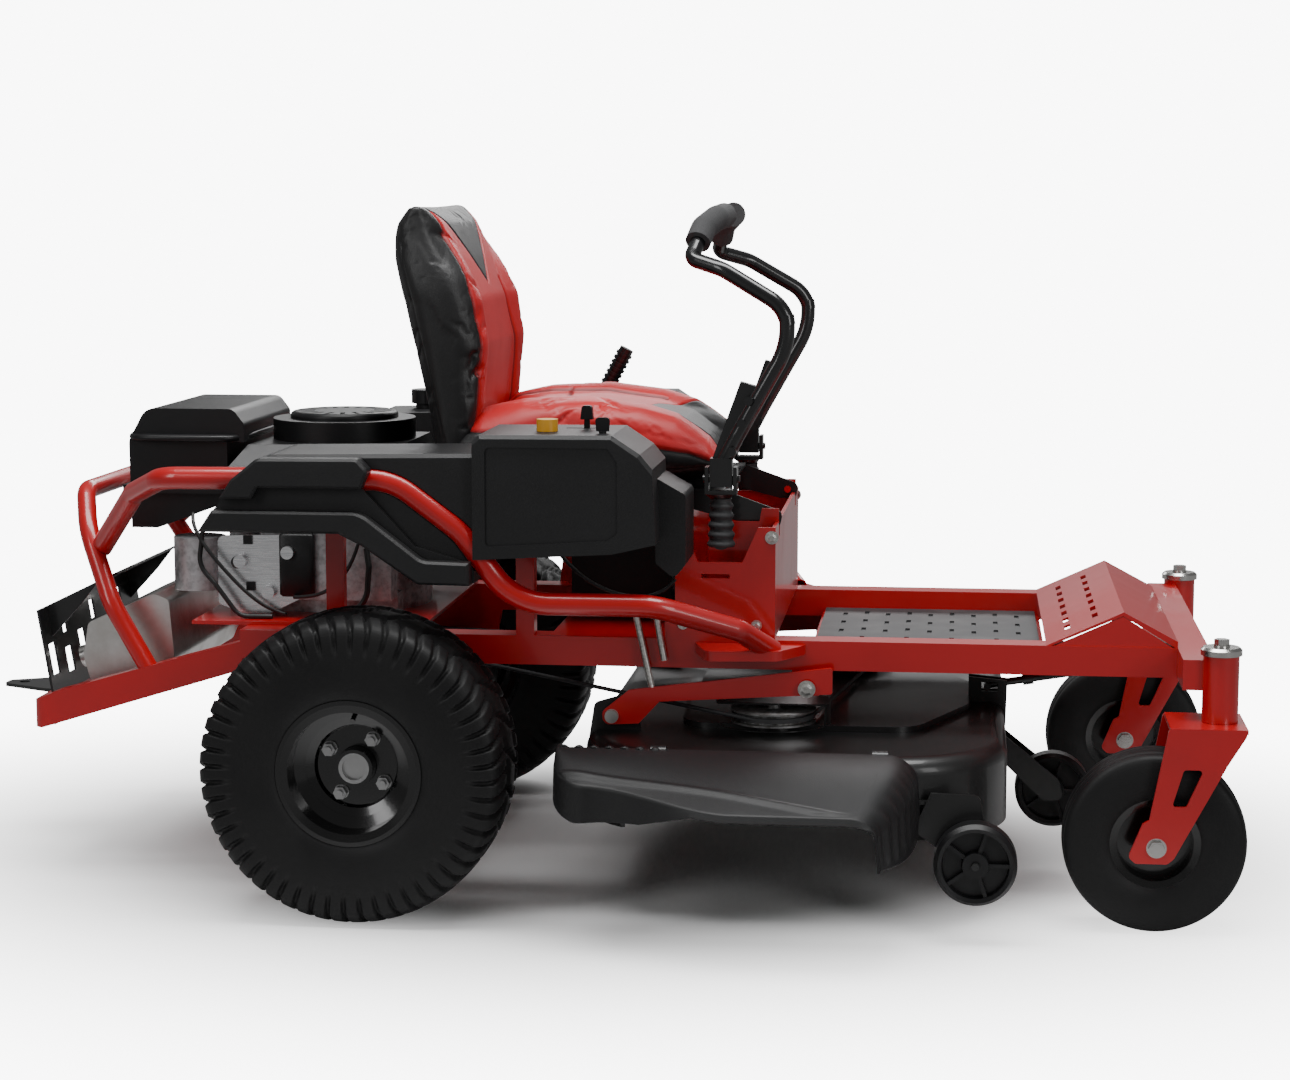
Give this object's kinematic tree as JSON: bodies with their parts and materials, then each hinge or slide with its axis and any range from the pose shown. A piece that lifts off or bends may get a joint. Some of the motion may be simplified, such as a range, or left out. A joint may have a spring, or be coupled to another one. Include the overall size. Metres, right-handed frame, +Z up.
{
  "type": "riding lawn mower",
  "caption": "Zero-turn riding mower: tube-rail chassis, rear engine, side-discharge cutting deck, caster forks, lap-bar steering levers and a tilting bucket seat.",
  "frame": {"origin": "on the ground midway between the rear wheels, under the rear axle", "axes": "+X forward, +Y to the operator's left, +Z up"},
  "size_m": [2.1525, 1.3383, 1.1309],
  "materials": {
    "red_paint": "gloss powder coat",
    "black_paint": "satin black powder coat",
    "deck_black": "satin black powder coat",
    "dark_plastic": "grained moulding",
    "engine_plastic": "satin moulding",
    "tyre_rubber": "matte",
    "foam_rubber": "foam grip",
    "mat_rubber": "moulded rubber",
    "seat_vinyl": "vinyl cover on foam",
    "cast_alloy": "as cast",
    "bright_steel": "zinc plated",
    "yellow_plastic": "gloss"
  },
  "bodies": {
    "chassis": {"frame_rails": "red_paint", "front_axle_beam": "red_paint", "rear_frame": "red_paint", "hitch_plate": "black_paint", "bumper_hoop": "red_paint", "side_tubes": "red_paint", "seat_tower": "red_paint", "floor_mat": "mat_rubber", "footrest_panel": "red_paint", "engine_block": "cast_alloy", "cylinder_covers": "cast_alloy", "blower_housing": "engine_plastic", "debris_screen": "engine_plastic", "air_cleaner": "engine_plastic", "engine_cables": "mat_rubber", "muffler": "bright_steel", "muffler_guard": "black_paint", "transaxles": "cast_alloy", "fenders": "dark_plastic", "consoles": "dark_plastic", "fuel_tank": "dark_plastic", "battery": "dark_plastic"},
    "crankshaft": {"crankshaft": "bright_steel"},
    "fuel_cap": {"fuel_cap": "dark_plastic"},
    "ignition_key": {"ignition_key": "dark_plastic"},
    "pto_knob": {"pto_knob": "yellow_plastic"},
    "throttle_lever": {"throttle_lever": "dark_plastic"},
    "seat_pan": {"seat_pan": "black_paint"},
    "seat": {"seat_cushion": "seat_vinyl", "seat_backrest": "seat_vinyl"},
    "deck": {"deck_shell": "deck_black", "deck_belt": "mat_rubber"},
    "chute_deflector": {"chute_deflector": "dark_plastic"},
    "blade_right": {"blade_right": "bright_steel"},
    "blade_left": {"blade_left": "bright_steel"},
    "lift_arms": {"lift_arms": "red_paint"},
    "lift_lever": {"lift_lever": "black_paint"},
    "lift_rods": {"lift_rods": "bright_steel"},
    "front_link": {"front_link": "black_paint"},
    "deck_wheel_right": {"deck_wheel_right": "engine_plastic"},
    "deck_wheel_left": {"deck_wheel_left": "engine_plastic"},
    "deck_wheel_centre": {"deck_wheel_centre": "engine_plastic"},
    "rear_wheel_right": {"rear_rim_right": "black_paint", "rear_tyre_right": "tyre_rubber"},
    "caster_fork_right": {"caster_fork_right": "red_paint"},
    "caster_wheel_right": {"caster_rim_right": "black_paint", "caster_tyre_right": "tyre_rubber"},
    "lever_pivot_right": {"lever_pivot_right": "black_paint"},
    "lap_bar_right": {"lap_bar_right": "black_paint", "grip_right": "foam_rubber"},
    "rear_wheel_left": {"rear_rim_left": "black_paint", "rear_tyre_left": "tyre_rubber"},
    "caster_fork_left": {"caster_fork_left": "red_paint"},
    "caster_wheel_left": {"caster_rim_left": "black_paint", "caster_tyre_left": "tyre_rubber"},
    "lever_pivot_left": {"lever_pivot_left": "black_paint"},
    "lap_bar_left": {"lap_bar_left": "black_paint", "grip_left": "foam_rubber"}
  },
  "joints": [
    {"name": "crankshaft_spin", "type": "hinge", "parent": "chassis", "child": "crankshaft", "pos_m": [-0.128, 0, 0.64], "axis": [0, 0, 1], "continuous": true},
    {"name": "rear_wheel_right_spin", "type": "hinge", "parent": "chassis", "child": "rear_wheel_right", "pos_m": [0, -0.475, 0.2465], "axis": [0, 1, 0], "continuous": true},
    {"name": "caster_right_swivel", "type": "hinge", "parent": "chassis", "child": "caster_fork_right", "pos_m": [1.3515, -0.4115, 0.332], "axis": [0, 0, 1], "continuous": true},
    {"name": "caster_right_spin", "type": "hinge", "parent": "caster_fork_right", "child": "caster_wheel_right", "pos_m": [1.2545, -0.4115, 0.143], "axis": [0, 1, 0], "continuous": true},
    {"name": "steering_lever_right", "type": "hinge", "parent": "chassis", "child": "lever_pivot_right", "pos_m": [0.56, -0.283, 0.59], "axis": [0, 1, 0], "range_deg": [-16, 18], "stiffness_Nm_per_rad": 80},
    {"name": "lap_bar_right_swing", "type": "hinge", "parent": "lever_pivot_right", "child": "lap_bar_right", "pos_m": [0.56, -0.283, 0.688], "axis": [1, 0, 0], "range_deg": [0, 30]},
    {"name": "rear_wheel_left_spin", "type": "hinge", "parent": "chassis", "child": "rear_wheel_left", "pos_m": [0, 0.475, 0.2465], "axis": [0, 1, 0], "continuous": true},
    {"name": "caster_left_swivel", "type": "hinge", "parent": "chassis", "child": "caster_fork_left", "pos_m": [1.3515, 0.4115, 0.332], "axis": [0, 0, 1], "continuous": true},
    {"name": "caster_left_spin", "type": "hinge", "parent": "caster_fork_left", "child": "caster_wheel_left", "pos_m": [1.2545, 0.4115, 0.143], "axis": [0, 1, 0], "continuous": true},
    {"name": "steering_lever_left", "type": "hinge", "parent": "chassis", "child": "lever_pivot_left", "pos_m": [0.56, 0.283, 0.59], "axis": [0, 1, 0], "range_deg": [-16, 18], "stiffness_Nm_per_rad": 80},
    {"name": "lap_bar_left_swing", "type": "hinge", "parent": "lever_pivot_left", "child": "lap_bar_left", "pos_m": [0.56, 0.283, 0.688], "axis": [-1, 0, 0], "range_deg": [0, 30]},
    {"name": "seat_tilt", "type": "hinge", "parent": "chassis", "child": "seat_pan", "pos_m": [0.636, 0, 0.617], "axis": [0, 1, 0], "range_deg": [0, 40]},
    {"name": "seat_slide", "type": "slide", "parent": "seat_pan", "child": "seat", "axis": [1, 0, 0], "range_m": [-0.045, 0.045]},
    {"name": "deck_lift", "type": "slide", "parent": "chassis", "child": "deck", "axis": [0, 0, 1], "range_m": [-0.045, 0.02], "deforming": ["deck_belt"]},
    {"name": "lift_arm_pivot", "type": "hinge", "parent": "chassis", "child": "lift_arms", "pos_m": [0.704, 0, 0.352], "axis": [0, 1, 0], "range_deg": [-9, 4.5]},
    {"name": "lift_rod_travel", "type": "slide", "parent": "chassis", "child": "lift_rods", "axis": [0, 0, 1], "range_m": [-0.037, 0.017]},
    {"name": "front_link_pivot", "type": "hinge", "parent": "chassis", "child": "front_link", "pos_m": [1.3175, 0, 0.36], "axis": [0, 1, 0], "range_deg": [-9, 4.5]},
    {"name": "deck_lift_lever", "type": "hinge", "parent": "chassis", "child": "lift_lever", "pos_m": [0.235, 0.35, 0.52], "axis": [0, 1, 0], "range_deg": [-7, 14]},
    {"name": "chute_hinge", "type": "hinge", "parent": "deck", "child": "chute_deflector", "pos_m": [0.6405, -0.521, 0.284], "axis": [-1, 0, 0], "range_deg": [0, 80]},
    {"name": "blade_right_spin", "type": "hinge", "parent": "deck", "child": "blade_right", "pos_m": [0.6455, -0.265, 0.278], "axis": [0, 0, 1], "continuous": true},
    {"name": "blade_left_spin", "type": "hinge", "parent": "deck", "child": "blade_left", "pos_m": [0.7315, 0.265, 0.278], "axis": [0, 0, 1], "continuous": true},
    {"name": "deck_wheel_right_spin", "type": "hinge", "parent": "deck", "child": "deck_wheel_right", "pos_m": [0.9765, -0.538, 0.127], "axis": [0, 1, 0], "continuous": true},
    {"name": "deck_wheel_left_spin", "type": "hinge", "parent": "deck", "child": "deck_wheel_left", "pos_m": [0.9105, 0.573, 0.127], "axis": [0, 1, 0], "continuous": true},
    {"name": "deck_wheel_centre_spin", "type": "hinge", "parent": "deck", "child": "deck_wheel_centre", "pos_m": [1.1105, 0, 0.127], "axis": [0, 1, 0], "continuous": true},
    {"name": "fuel_cap_turn", "type": "hinge", "parent": "chassis", "child": "fuel_cap", "pos_m": [-0.06, 0.4163, 0.75], "axis": [0, 0, 1], "range_deg": [0, 170]},
    {"name": "ignition_key_turn", "type": "hinge", "parent": "chassis", "child": "ignition_key", "pos_m": [0.389, -0.4563, 0.775], "axis": [0, 0, -1], "range_deg": [0, 80]},
    {"name": "pto_knob_pull", "type": "slide", "parent": "chassis", "child": "pto_knob", "axis": [0, 0, 1], "range_m": [0, 0.012]},
    {"name": "throttle_swing", "type": "hinge", "parent": "chassis", "child": "throttle_lever", "pos_m": [0.352, -0.3663, 0.754], "axis": [0, 1, 0], "range_deg": [-22, 22]}
  ],
  "couplings": [
    {"joint": "lift_arm_pivot", "follows": "deck_lift", "rad_per_m": 3.1496},
    {"joint": "lift_rod_travel", "follows": "deck_lift", "ratio": 0.8},
    {"joint": "front_link_pivot", "follows": "deck_lift", "rad_per_m": 3.1153},
    {"joint": "deck_lift_lever", "follows": "deck_lift", "rad_per_m": -4.9},
    {"joint": "blade_left_spin", "follows": "blade_right_spin", "ratio": 1}
  ]
}
